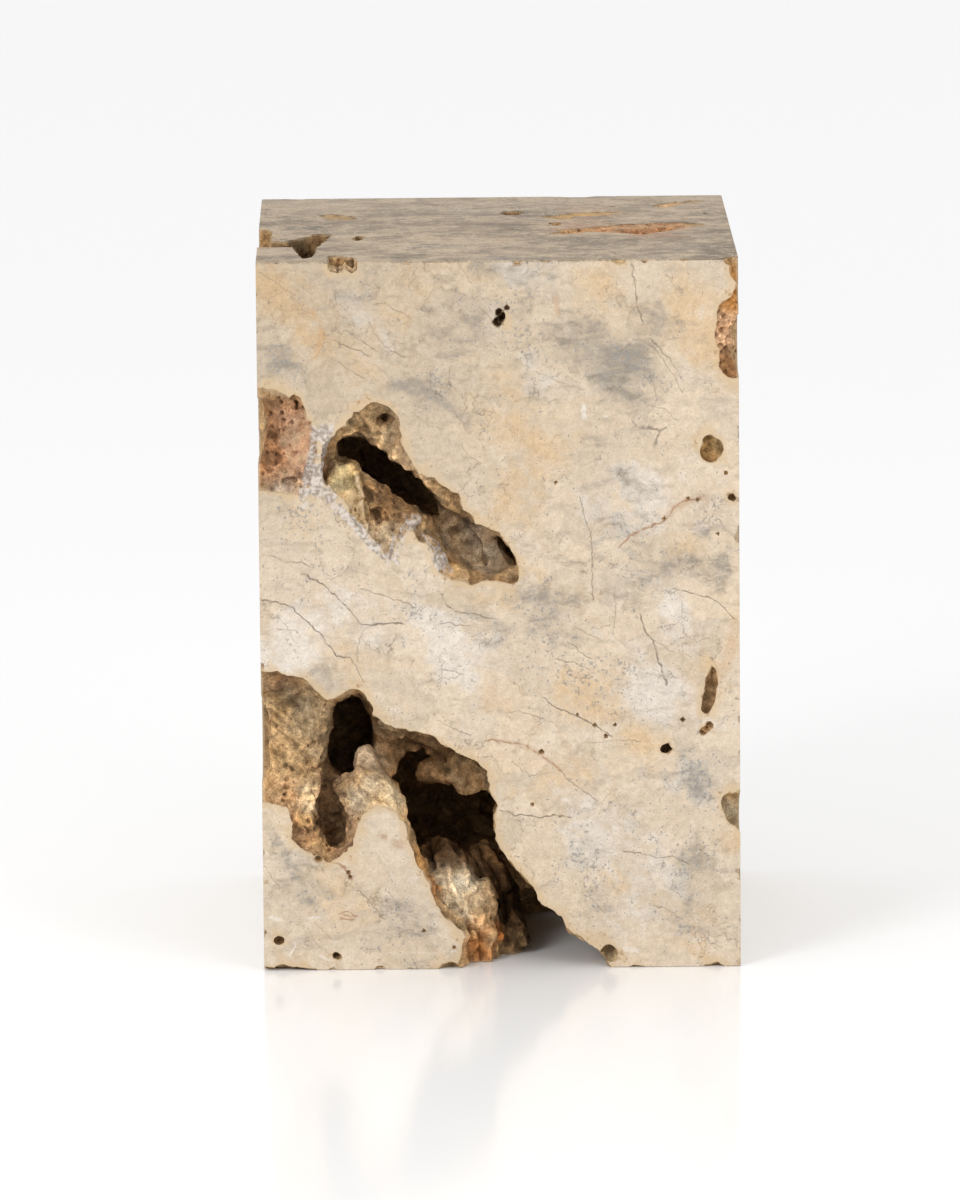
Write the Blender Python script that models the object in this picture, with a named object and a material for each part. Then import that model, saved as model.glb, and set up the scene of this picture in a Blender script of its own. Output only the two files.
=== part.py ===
"""A travertine chunk: one block of stone, sawn square on all six sides, with the natural
vugs that the saw laid open. It stands on its sawn base, z = 0, and its best face looks
along -Y.

Each vug is told in millimetres on the face it opens in: along the face, into the stone,
and up. Its empty space is a rim outline cut straight in, and rounded hollows behind it.
The rock that still stands in it is a set of rounded lumps. The two are melted together,
roughened as broken travertine is, and cut out of the block.
"""

import math

import bmesh
import bpy
from mathutils import Euler, Matrix, Vector, noise

MM = 0.001

# The sawn block, from each saw cut to the opposite one
WIDTH = 305
DEPTH = 305
HEIGHT = 457

# A cutter reaches this far out of the stone, so that the saw cut stays a clean plane
OVERCUT = 12

# How finely a vug is shaped, and how far its forms run into one another
VOXEL = 2.4
MELT = 5

# The share of its facets that a small single hole keeps
PIT_FACETS = 0.42

# The broken rock: scallops with sharp crests between them, and a finer crumble. Both fade
# out towards the sawn faces, where the rim keeps its outline
SCALLOP_SIZE = 17
SCALLOP_RELIEF = 4.2
CRUMBLE_SIZE = 7
CRUMBLE_RELIEF = 1.6
RIM_RELIEF = 0.12
RIM_FADE = 16

STONE_COLOUR = (0.72, 0.60, 0.46, 1.0)
STONE_ROUGHNESS = 0.6

# Each sawn face: the middle of its foot, the way along it, and the way into the stone
FACES = {
    "front": ((0, -DEPTH / 2, 0), (1, 0, 0), (0, 1, 0)),
    "back": ((0, DEPTH / 2, 0), (-1, 0, 0), (0, -1, 0)),
    "left": ((-WIDTH / 2, 0, 0), (0, -1, 0), (1, 0, 0)),
    "right": ((WIDTH / 2, 0, 0), (0, 1, 0), (-1, 0, 0)),
    "top": ((0, 0, HEIGHT), (1, 0, 0), (0, 0, -1)),
}


def face_frame(face):
    """The matrix from (along, into, up) on a sawn face, in millimetres, to the block in metres."""
    foot, along, into = (Vector(v) for v in FACES[face])
    up = along.cross(into)
    frame = Matrix((along, into, up)).transposed().to_4x4()
    frame.translation = foot
    return Matrix.Scale(MM, 4) @ frame


def add_rounded(mesh, frame, forms, fineness=3):
    """Ellipsoids, each told by its middle, its half sizes and its turn in the face, in degrees."""
    for middle, halves, turn in forms:
        swing = Euler((0, math.radians(-turn), 0)).to_matrix().to_4x4()
        place = frame @ Matrix.Translation(middle) @ swing @ Matrix.Diagonal((*halves, 1))
        bmesh.ops.create_icosphere(mesh, subdivisions=fineness, radius=1, matrix=place)


def add_rim(mesh, frame, outline, depth):
    """An outline on the sawn face, cut straight in from outside the stone."""
    corners = [mesh.verts.new(frame @ Vector((a, -OVERCUT, u))) for a, u in outline]
    cap = mesh.faces.new(corners)
    inward = frame.to_3x3() @ Vector((0, depth + OVERCUT, 0))
    far_end = bmesh.ops.extrude_face_region(mesh, geom=[cap])["geom"]
    moved = [part for part in far_end if isinstance(part, bmesh.types.BMVert)]
    bmesh.ops.translate(mesh, vec=inward, verts=moved)


def new_object(name, mesh):
    made = bpy.data.meshes.new(name)
    bmesh.ops.triangulate(mesh, faces=mesh.faces)
    bmesh.ops.recalc_face_normals(mesh, faces=mesh.faces)
    mesh.to_mesh(made)
    mesh.free()
    thing = bpy.data.objects.new(name, made)
    bpy.context.scene.collection.objects.link(thing)
    return thing


def melt(thing, passes):
    """Joins overlapping forms into one closed skin, and softens where they meet."""
    skin = thing.modifiers.new("one skin", "REMESH")
    skin.mode = "VOXEL"
    skin.voxel_size = VOXEL * MM
    soften = thing.modifiers.new("soften", "SMOOTH")
    soften.factor = 0.5
    soften.iterations = passes


def settle(thing):
    """Makes what the modifiers show the object's own mesh."""
    shown = thing.evaluated_get(bpy.context.evaluated_depsgraph_get())
    thing.data = bpy.data.meshes.new_from_object(shown)
    thing.modifiers.clear()


def cut(thing, cutter):
    remove = thing.modifiers.new(cutter.name, "BOOLEAN")
    remove.operation = "DIFFERENCE"
    remove.solver = "EXACT"
    remove.object = cutter


def inside(point):
    """How far a point lies inside the block, from its nearest sawn face."""
    x, y, z = point / MM
    return min(WIDTH / 2 - abs(x), DEPTH / 2 - abs(y), z, HEIGHT - z)


def weather(mesh):
    """Breaks a melted skin into scallops and crumble, pushed into the rock along its normals."""
    shifts = []
    for vertex in mesh.vertices:
        place = vertex.co / MM
        fade = min(1, max(0, inside(vertex.co) / RIM_FADE)) ** 0.7
        nearest = noise.voronoi(place / SCALLOP_SIZE)[0]
        scallop = SCALLOP_RELIEF * (min(1, nearest[1] - nearest[0]) - 0.35)
        crumble = CRUMBLE_RELIEF * noise.noise(place / CRUMBLE_SIZE)
        wear = RIM_RELIEF + (1 - RIM_RELIEF) * fade
        shifts.append(vertex.normal * (wear * (scallop + crumble) * MM))
    for vertex, shift in zip(mesh.vertices, shifts):
        vertex.co += shift


def finished_cutter(cutter):
    cutter.hide_render = True
    cutter.display_type = "WIRE"
    return cutter


def vug(name, face, triangles, rims=(), hollows=(), lumps=()):
    """The cutter of one vug: its empty space, less the rock that stands in it."""
    frame = face_frame(face)
    space = bmesh.new()
    for outline, depth in rims:
        add_rim(space, frame, outline, depth)
    add_rounded(space, frame, hollows)
    cutter = new_object(name, space)
    melt(cutter, 1)
    if lumps:
        rock = bmesh.new()
        add_rounded(rock, frame, lumps)
        standing = new_object(name + "_rock", rock)
        melt(standing, 1)
        settle(standing)
        cut(cutter, standing)
        settle(cutter)
        bpy.data.objects.remove(standing)
        melt(cutter, MELT)
    settle(cutter)
    weather(cutter.data)
    thin = cutter.modifiers.new("facets", "DECIMATE")
    cutter.data.calc_loop_triangles()
    thin.ratio = min(1, triangles / len(cutter.data.loop_triangles))
    settle(cutter)
    return finished_cutter(cutter)


def lower_vug():
    """The great vug at the foot of the front: it opens round the left edge and through the
    base, and a tongue of sawn stone, a pinnacle and two lobes of rock stand in it."""
    recess = [
        (-170, 196), (-145, 195), (-139, 188), (-131, 180), (-120, 176), (-109, 176), (-99, 181),
        (-92, 185), (-86, 181), (-80, 166), (-74, 159), (-61, 157), (-43, 153), (-33, 142),
        (-24, 136), (-18, 136), (-10, 129), (-7, 117), (0, 105), (-5, 101), (-3, 84), (5, 69),
        (18, 56), (25, 40), (38, 35), (43, 22), (54, 17), (62, 11), (69, 2), (73, -14),
        (-30, -14), (-29, 2), (-23, 23), (-38, 34), (-44, 50), (-53, 68), (-57, 79), (-60, 91),
        (-63, 99), (-70, 105), (-80, 106), (-88, 102), (-92, 95), (-94, 87), (-97, 80), (-103, 74),
        (-110, 71), (-121, 76), (-128, 79), (-135, 86), (-133, 97), (-138, 109), (-170, 110),
    ]
    mouth = [
        (-108, 170), (-99, 176), (-92, 180), (-86, 178), (-80, 166), (-74, 159), (-61, 157),
        (-43, 153), (-33, 142), (-24, 136), (-18, 136), (-10, 129), (-7, 117), (0, 105),
        (-5, 101), (-3, 84), (5, 69), (18, 56), (25, 40), (38, 35), (43, 22), (54, 17), (62, 11),
        (69, 2), (73, -14), (-22, -14), (-20, 4), (-15, 23), (-30, 34), (-38, 50), (-47, 67),
        (-54, 77), (-57, 92), (-62, 108), (-72, 124), (-88, 130), (-102, 124), (-110, 112),
        (-114, 132), (-110, 150),
    ]
    hollows = [
        # the rough face at the left edge, its alcoves under the rim, and its way round the edge
        ((-134, 2, 150), (28, 10, 44), 0),
        ((-131, 8, 172), (13, 12, 10), 0),
        ((-147, 6, 170), (12, 12, 9), 0),
        ((-154, 24, 148), (9, 26, 30), 0),
        # the spongy trough, and the round hole at its foot
        ((-111, 14, 104), (10, 16, 30), 18),
        ((-106, 23, 83), (9, 18, 9), 0),
        # the deep dark hole under the arch
        ((-97, 60, 147), (18, 60, 32), 0),
        ((-110, 92, 140), (36, 50, 38), 0),
        # the great hollow behind the pinnacle
        ((-50, 20, 138), (34, 28, 18), -12),
        ((-21, 12, 124), (17, 18, 15), 0),
        ((-54, 82, 92), (38, 74, 46), 0),
        ((-12, 80, 80), (38, 70, 40), 0),
        ((-3, 110, 84), (16, 60, 22), 0),
        # the way out through the base
        ((24, 76, 40), (38, 72, 42), 0),
        ((34, 90, 0), (50, 86, 30), 0),
    ]
    lumps = [
        # the fin between the rough face and the trough
        ((-121, 13, 115), (5, 11, 17), -12),
        # the pinnacle, which leans forward into the sawn tongue
        ((-84, 30, 124), (8, 12, 17), 10),
        ((-80, 30, 104), (14, 19, 28), 16),
        ((-77, 19, 106), (13, 17, 20), 12),
        ((-76, 26, 72), (22, 26, 26), 0),
        # the rock that hangs between the two deep holes, and the bulge under the arch
        ((-68, 46, 160), (14, 22, 20), 0),
        ((-24, 40, 127), (14, 16, 10), 20),
        ((-42, 50, 120), (13, 16, 8), 0),
        # the great lobe, the toe in front of it, and the dark rock behind them
        ((-36, 44, 34), (24, 30, 42), 6),
        ((-20, 38, 12), (17, 22, 32), 12),
        ((-8, 70, 42), (13, 18, 28), 14),
        ((4, 56, 12), (12, 18, 22), 10),
        ((0, 88, 22), (12, 24, 30), 8),
    ]
    return vug("lower_vug", "front", 3150, [(recess, 5), (mouth, 30)], hollows, lumps)


def middle_vug():
    """The slanting vug in the middle of the front, with a ragged ledge along its lower side."""
    ledge = [
        (-108, 344), (-101, 351), (-89, 362), (-78, 368), (-70, 364), (-64, 357), (-63, 343),
        (-57, 332), (-46, 318), (-41, 320), (-36, 313), (-27, 309), (-21, 296), (-13, 289),
        (0, 283), (9, 270), (13, 259), (11, 250), (-6, 252), (-18, 249), (-38, 256), (-44, 275),
        (-57, 285), (-66, 276), (-70, 265), (-79, 279), (-93, 292), (-98, 305), (-109, 314),
        (-113, 326), (-112, 338),
    ]
    opening = [
        (-106, 343), (-101, 351), (-89, 362), (-78, 368), (-70, 364), (-64, 357), (-63, 343),
        (-57, 332), (-46, 318), (-41, 320), (-36, 313), (-27, 309), (-21, 296), (-13, 289),
        (0, 283), (9, 270), (13, 259), (11, 250), (-6, 252), (-18, 249), (-19, 266), (-30, 280),
        (-45, 292), (-62, 300), (-72, 311), (-86, 318), (-92, 326), (-103, 327),
    ]
    throat = [
        (-104, 343), (-96, 344), (-84, 340), (-71, 334), (-66, 327), (-56, 322), (-47, 314),
        (-38, 302), (-36, 291), (-45, 290), (-62, 300), (-72, 311), (-86, 318), (-92, 326),
        (-103, 327),
    ]
    hollows = [
        ((-78, 8, 347), (21, 12, 19), 0),
        ((-72, 16, 354), (6, 16, 6), 0),
        ((-66, 66, 308), (50, 46, 20), -33),
        ((-20, 14, 275), (32, 22, 16), -36),
        ((7, 40, 268), (4.5, 40, 17), 24),
        # the crack beside the ledge, and the holes in it
        ((-109, 6, 326), (2.4, 11, 17), -6),
        ((-83, 6, 307), (3.5, 10, 4), 0),
        ((-77, 6, 293), (3, 9, 6), 12),
        ((-50, 2, 281), (2.2, 6, 5.5), 12),
    ]
    rims = [(ledge, 2.5), (opening, 9), (throat, 60)]
    return vug("middle_vug", "front", 1450, rims, hollows)


def spongy_patch():
    """The reddish, spongy stone at the left edge, a little below the sawn faces."""
    outline = [
        (-170, 377), (-141, 377), (-132, 371), (-126, 373), (-122, 363), (-114, 344),
        (-114, 334), (-121, 312), (-126, 307), (-136, 309), (-150, 311), (-170, 311),
    ]
    hollows = [
        ((-149, 3, 357), (11, 8, 14), 0),
        ((-147, 3, 334), (8, 6, 9), 0),
        ((-128, 4, 366), (2.8, 10, 6.5), 14),
        ((-142, 5, 345), (3, 9, 3.2), 0),
        ((-139, 5, 333), (2.6, 8, 3.4), 0),
        ((-134, 3, 316), (4, 6, 2.4), 0),
        ((-126, 3, 322), (2.4, 6, 2.6), 0),
        ((-155, 18, 350), (8, 24, 26), 0),
        ((-154, 44, 332), (6, 16, 12), 0),
    ]
    return vug("spongy_patch", "front", 400, [(outline, 1.6)], hollows)


def right_edge():
    """The rough bites along the right edge of the front."""
    hollows = [
        ((147, 1, 410), (10, 6, 15), 0),
        ((149, 3, 392), (10, 8, 12), 0),
        ((146, 0, 424), (7, 4, 9), -20),
        ((154, 14, 402), (6, 16, 22), 0),
        ((149, 3, 103), (9, 8, 12), 20),
        ((154, 10, 96), (6, 14, 12), 0),
        ((152, 0, 452), (6, 9, 8), 0),
        ((154, 4, 436), (5, 8, 9), 0),
    ]
    return vug("right_edge", "front", 360, hollows=hollows)


def foot_chips():
    """Where the foot of the front is chipped."""
    hollows = [
        ((-134, 2, -2), (24, 10, 5), -4),
        ((-33, 0, -3), (9, 9, 8), 0),
        ((68, 2, 9), (5, 8, 7), 30),
        ((136, 0, -2), (9, 7, 5), 0),
        ((86, 0, -2), (9, 6, 4), 0),
    ]
    return vug("foot_chips", "front", 200, hollows=hollows)


def top_vugs():
    """The holes of the top: a deep ragged one, which a recess joins to a notch in the left
    edge, the bite in the front edge, a slit, and shallow spongy bites on the right."""
    deep = [
        (-136, -56), (-125, -38), (-118, -24), (-111, -18), (-104, -23), (-108, -49),
        (-113, -76), (-115, -104), (-117, -127), (-123, -136), (-127, -108), (-130, -78),
    ]
    notch = [(-170, -79), (-145, -80), (-143, -46), (-143, -10), (-146, 5), (-170, 7)]
    recess = [(-150, -79), (-126, -80), (-130, -56), (-148, -46)]
    bite = [(-108, -122), (-97, -125), (-89, -131), (-87, -170), (-107, -170)]
    spongy = [
        (28, -32), (44, -16), (62, 4), (84, 14), (108, 21), (128, 20), (140, 11), (126, -6),
        (112, -19), (94, -40), (80, -27), (60, -22), (46, -34),
    ]
    tan = [(24, 42), (34, 64), (52, 74), (78, 80), (98, 76), (84, 58), (66, 54), (48, 36)]
    corner = [(104, 96), (116, 94), (128, 112), (142, 122), (136, 132), (120, 120), (108, 112)]
    streak = [(-118, 66), (-108, 78), (-94, 70), (-86, 52), (-96, 42), (-110, 50)]
    rims = [
        (deep, 14), (notch, 15), (recess, 5), (bite, 6), (spongy, 1.4), (tan, 0.9),
        (corner, 1.6), (streak, 1.2),
    ]
    hollows = [
        ((-118, 26, -52), (13, 26, 32), 0),
        ((-120, 12, -104), (6, 14, 26), 0),
        ((-88, 6, -42), (4, 16, 14), -10),
        ((-97, 3, -150), (5, 5, 15), 0),
        ((12, 0, 74), (8, 7, 13), 0),
        ((50, 0, -12), (10, 4, 9), 0),
        ((92, 0, -12), (13, 5, 12), 0),
        ((111, 4, -6), (5, 16, 13), 0),
        ((40, 2, 18), (5, 6, 9), 0),
        ((112, 1, 102), (5, 5, 7), 0),
        ((76, 0, -155), (7, 4, 8), 0),
        ((56, 0, 155), (14, 4, 8), 0),
        ((150, 0, -150), (8, 7, 8), 0),
    ]
    return vug("top_vugs", "top", 900, rims, hollows)


def back_vug():
    """A long vug across the back, along the same bedding as those of the front."""
    outline = [
        (-96, 300), (-82, 312), (-60, 308), (-42, 290), (-18, 284), (2, 262), (26, 250),
        (44, 228), (70, 214), (84, 192), (76, 178), (56, 180), (40, 196), (14, 206), (-8, 226),
        (-34, 232), (-52, 252), (-78, 262), (-94, 280),
    ]
    hollows = [
        ((-70, 22, 288), (24, 30, 20), -20),
        ((-24, 34, 258), (40, 38, 18), -34),
        ((40, 26, 212), (34, 32, 17), -36),
        ((62, 52, 196), (16, 34, 16), 0),
        ((-54, 56, 276), (18, 34, 16), 0),
    ]
    lumps = [((6, 22, 234), (12, 20, 11), -30), ((-48, 20, 268), (8, 16, 12), 10)]
    return vug("back_vug", "back", 660, [(outline, 8)], hollows, lumps)


def back_foot_vug():
    """A lower vug at the back's left corner, which runs round to the side."""
    outline = [
        (170, 118), (146, 122), (132, 112), (114, 108), (104, 92), (108, 74), (124, 62),
        (134, 44), (152, 38), (170, 40),
    ]
    hollows = [
        ((138, 12, 84), (28, 22, 28), 20),
        ((156, 34, 78), (22, 34, 26), 0),
        ((118, 24, 90), (14, 22, 14), 0),
    ]
    lumps = [((140, 26, 66), (9, 14, 12), 0)]
    return vug("back_foot_vug", "back", 460, [(outline, 4)], hollows, lumps)


def left_vug():
    """The vug high on the left side."""
    outline = [
        (-118, 398), (-100, 406), (-84, 396), (-60, 392), (-44, 376), (-40, 360), (-56, 350),
        (-78, 360), (-96, 366), (-112, 380),
    ]
    hollows = [
        ((-84, 16, 382), (30, 24, 14), -16),
        ((-58, 26, 368), (15, 28, 12), 0),
        ((-100, 24, 388), (12, 24, 11), 0),
    ]
    return vug("left_vug", "left", 340, [(outline, 5)], hollows)


def right_vug():
    """The vug in the middle of the right side."""
    outline = [
        (-64, 236), (-46, 250), (-22, 246), (-4, 230), (20, 226), (38, 208), (56, 200),
        (62, 184), (44, 176), (20, 184), (2, 198), (-24, 206), (-50, 216),
    ]
    hollows = [
        ((-32, 20, 228), (26, 28, 17), -16),
        ((20, 16, 204), (32, 24, 15), -24),
        ((-14, 44, 220), (18, 34, 14), 0),
    ]
    lumps = [((-2, 20, 212), (7, 14, 10), 0)]
    return vug("right_vug", "right", 440, [(outline, 5)], hollows, lumps)


def pits():
    """Single small holes. Each is told by its face, its middle, its half sizes and its turn."""
    spots = [
        ("front", (3, 1, 421), (2.6, 9, 4.6), -16),
        ("front", (7, 1, 429), (1.4, 5, 2), -20),
        ("front", (135, 0, 336), (7, 5, 8.5), 0),
        ("front", (133, 1, 180), (4, 6, 17), -10),
        ("front", (106, 2, 142), (4.2, 10, 3.6), 0),
        ("front", (131, 1, 155), (2.6, 6, 2.2), 0),
        ("front", (113, 1, 161), (1.6, 4, 1.6), 0),
        ("front", (148, 1, 304), (3, 4, 3.4), 0),
        ("front", (-143, 1, 20), (3, 5, 2.4), 0),
        ("front", (-106, 1, 9), (3.4, 5, 2.2), -30),
        ("back", (-104, 1, 120), (7, 10, 5), 30),
        ("back", (-86, 1, 132), (3, 6, 3), 0),
        ("back", (96, 1, 372), (6, 8, 9), 20),
        ("back", (84, 1, 352), (2.6, 5, 3), 0),
        ("back", (-28, 1, 60), (4, 8, 12), 30),
        ("back", (20, 1, 410), (9, 6, 4), -20),
        ("left", (36, 1, 250), (6, 10, 9), 0),
        ("left", (22, 1, 262), (2.6, 5, 3), 0),
        ("left", (-64, 1, 214), (4, 8, 10), -30),
        ("left", (-20, 1, 96), (9, 8, 6), -24),
        ("left", (4, 1, 82), (3, 6, 3), 0),
        ("left", (60, 1, 420), (5, 6, 3), 0),
        ("right", (-92, 1, 340), (5, 9, 11), 20),
        ("right", (86, 1, 372), (9, 7, 5), -20),
        ("right", (70, 1, 388), (3, 5, 3), 0),
        ("right", (96, 1, 90), (6, 9, 8), 0),
        ("right", (-60, 1, 60), (5, 8, 4), 0),
        ("right", (-44, 1, 72), (2.4, 5, 2.6), 0),
    ]
    holes = bmesh.new()
    for face, *form in spots:
        add_rounded(holes, face_frame(face), [form], fineness=2)
    cutter = new_object("pits", holes)
    thin = cutter.modifiers.new("facets", "DECIMATE")
    thin.ratio = PIT_FACETS
    settle(cutter)
    return finished_cutter(cutter)


CUTTERS = [
    lower_vug, middle_vug, spongy_patch, right_edge, foot_chips, top_vugs, back_vug,
    back_foot_vug, left_vug, right_vug, pits,
]


def sawn_block():
    block = bmesh.new()
    size = Matrix.Diagonal((WIDTH * MM, DEPTH * MM, HEIGHT * MM, 1))
    lifted = Matrix.Translation((0, 0, HEIGHT * MM / 2))
    bmesh.ops.create_cube(block, size=1, matrix=lifted @ size)
    return new_object("travertine_chunk", block)


def travertine():
    stone = bpy.data.materials.new("travertine")
    stone.use_nodes = True
    surface = stone.node_tree.nodes["Principled BSDF"]
    surface.inputs["Base Color"].default_value = STONE_COLOUR
    surface.inputs["Roughness"].default_value = STONE_ROUGHNESS
    surface.inputs["Metallic"].default_value = 0
    return stone


for leftover in list(bpy.data.objects):
    bpy.data.objects.remove(leftover)
chunk = sawn_block()
for make in CUTTERS:
    cut(chunk, make())
chunk.data.materials.append(travertine())
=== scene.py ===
"""The looks of a travertine chunk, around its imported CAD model."""

import math
import random

import bmesh
import bpy
import numpy as np
from mathutils import Matrix, Vector, noise


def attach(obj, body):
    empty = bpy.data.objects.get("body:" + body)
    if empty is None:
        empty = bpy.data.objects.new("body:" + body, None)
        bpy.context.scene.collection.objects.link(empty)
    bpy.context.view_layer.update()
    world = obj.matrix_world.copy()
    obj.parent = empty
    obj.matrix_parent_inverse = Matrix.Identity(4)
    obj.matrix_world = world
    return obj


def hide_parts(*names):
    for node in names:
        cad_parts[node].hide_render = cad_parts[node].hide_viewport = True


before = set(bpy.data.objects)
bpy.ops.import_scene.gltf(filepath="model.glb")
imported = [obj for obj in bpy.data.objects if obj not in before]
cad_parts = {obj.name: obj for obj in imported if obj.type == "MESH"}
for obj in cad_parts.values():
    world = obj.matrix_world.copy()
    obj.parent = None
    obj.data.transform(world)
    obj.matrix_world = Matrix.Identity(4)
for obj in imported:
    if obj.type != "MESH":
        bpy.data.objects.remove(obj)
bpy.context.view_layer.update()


# The chunk: one block of travertine, sawn square on six sides and honed, with the natural
# vugs that the saw laid open. Its skin is drawn again over the CAD solid, finely enough for
# the folds, crumble and pores of the broken rock, small holes, and nicks along the edges.

MM = 0.001
SKIN = 1.1
HALF = np.array([152.5, 152.5, 228.5])
MIDDLE = np.array([0.0, 0.0, 228.5])
SAW_CUT = 0.45


def shown_mesh(thing):
    """What the modifiers of a piece show, as a mesh of its own."""
    shown = thing.evaluated_get(bpy.context.evaluated_depsgraph_get())
    return bpy.data.meshes.new_from_object(shown)


def finish_modifiers(thing):
    thing.data = shown_mesh(thing)
    thing.modifiers.clear()


solid = bmesh.new()
solid.from_mesh(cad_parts["travertine_chunk"].data)
bmesh.ops.remove_doubles(solid, verts=solid.verts, dist=0.002 * MM)
block_mesh = bpy.data.meshes.new("travertine_block")
solid.to_mesh(block_mesh)
solid.free()
chunk = bpy.data.objects.new("travertine_block", block_mesh)
bpy.context.scene.collection.objects.link(chunk)
skin = chunk.modifiers.new("fine skin", "REMESH")
skin.mode = "VOXEL"
skin.voxel_size = SKIN * MM
finish_modifiers(chunk)


def read(collection, name, width):
    values = np.empty(len(collection) * width, np.float32 if name != "vertices" else np.int32)
    collection.foreach_get(name, values)
    return values.reshape(-1, width) if width > 1 else values


def smooth_step(value, low, high):
    share = np.clip((value - low) / (high - low), 0, 1)
    return share * share * (3 - 2 * share)


def on_saw_cuts(points):
    """The points, with those nearly on a sawn face put on it and none outside the block."""
    side = np.sign(points - MIDDLE)
    near = HALF - abs(points - MIDDLE) < SAW_CUT
    return np.where(near, MIDDLE + side * HALF, points)


place = read(chunk.data.vertices, "co", 3).astype(float) / MM
normal = read(chunk.data.vertices, "normal", 3).astype(float)
edges = read(chunk.data.edges, "vertices", 2)
place = on_saw_cuts(place)
side = np.sign(place - MIDDLE)
gap = HALF - abs(place - MIDDLE)
broken = gap.min(1) > 0
links_of = np.bincount(edges.ravel(), minlength=len(place))


def neighbours_mean(values):
    """The mean of each point's neighbours along the mesh's edges."""
    total = np.zeros_like(values)
    for axis in range(values.shape[1]):
        total[:, axis] = np.bincount(
            edges[:, 0], weights=values[edges[:, 1], axis], minlength=len(values)
        ) + np.bincount(edges[:, 1], weights=values[edges[:, 0], axis], minlength=len(values))
    return total / links_of[:, None]


# Where the rock is rougher or smoother than elsewhere: middle and reach in mm, folds, crumble
# and pores
TEXTURES = [
    ((-136, -148, 176), 20, 1.3, 0.8, 0.3),
    ((-134, -148, 140), 34, 1.0, 1.3, 0.9),
    ((-112, -140, 98), 18, 0.8, 1.8, 2.2),
    ((-122, -148, 84), 14, 0.6, 1.6, 1.8),
    ((-140, -150, 345), 34, 0.4, 1.1, 1.6),
    ((-74, -146, 298), 15, 0.9, 1.5, 2.4),
    ((-98, -148, 316), 12, 0.6, 0.7, 0.3),
    ((-86, -130, 350), 26, 1.2, 0.5, 0.1),
    ((-30, -120, 40), 34, 1.3, 0.6, 0.2),
    ((-14, -120, 12), 22, 1.6, 0.8, 0.3),
    ((-84, -120, 128), 20, 0.4, 0.3, 0.0),
    ((-80, -140, 104), 16, 0.8, 1.0, 0.2),
    ((-40, -110, 120), 50, 1.0, 0.5, 0.2),
    ((-10, -130, 272), 26, 0.5, 0.25, 0.0),
    ((148, -150, 398), 30, 0.8, 1.3, 1.7),
    ((90, 0, 456), 60, 0.5, 1.2, 2.0),
    ((60, 60, 456), 40, 0.4, 1.0, 1.6),
]


def texture_at(points):
    """Folds, crumble and pores at each point, from the places told nearest to it."""
    kinds = np.tile([1.0, 0.9, 0.35], (len(points), 1))
    weight = np.ones(len(points))
    for middle, reach, *kind in TEXTURES:
        near = 9 * np.exp(-(((points - middle) ** 2).sum(1)) / (0.6 * reach**2))
        kinds += near[:, None] * kind
        weight += near
    return kinds / weight[:, None]


def relief(point, kind):
    """How far the broken rock stands out of its own mean surface at a point, in mm."""
    folds, crumble, pores = kind
    p = Vector(point)
    bent = p + 4.0 * noise.noise_vector(p / 14)
    crest = 1 - 2.4 * abs(noise.noise(bent / 13))
    height = folds * (1.3 * (crest - 0.5) + 1.4 * noise.noise(bent / 6.5))
    height += crumble * (0.65 * noise.noise(p / 2.9) + 0.60 * (noise.turbulence(p / 2.1, 2, True) - 0.5))
    far, cell = noise.voronoi(p / 4.6)
    width = 0.36 + 0.34 * noise.noise(cell[0] * 7.3)
    if pores * (0.5 + noise.noise(cell[0] * 3.1)) > 0.5:
        height -= 2.6 * max(0, 1 - (far[0] / width) ** 2)
    return height


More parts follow.
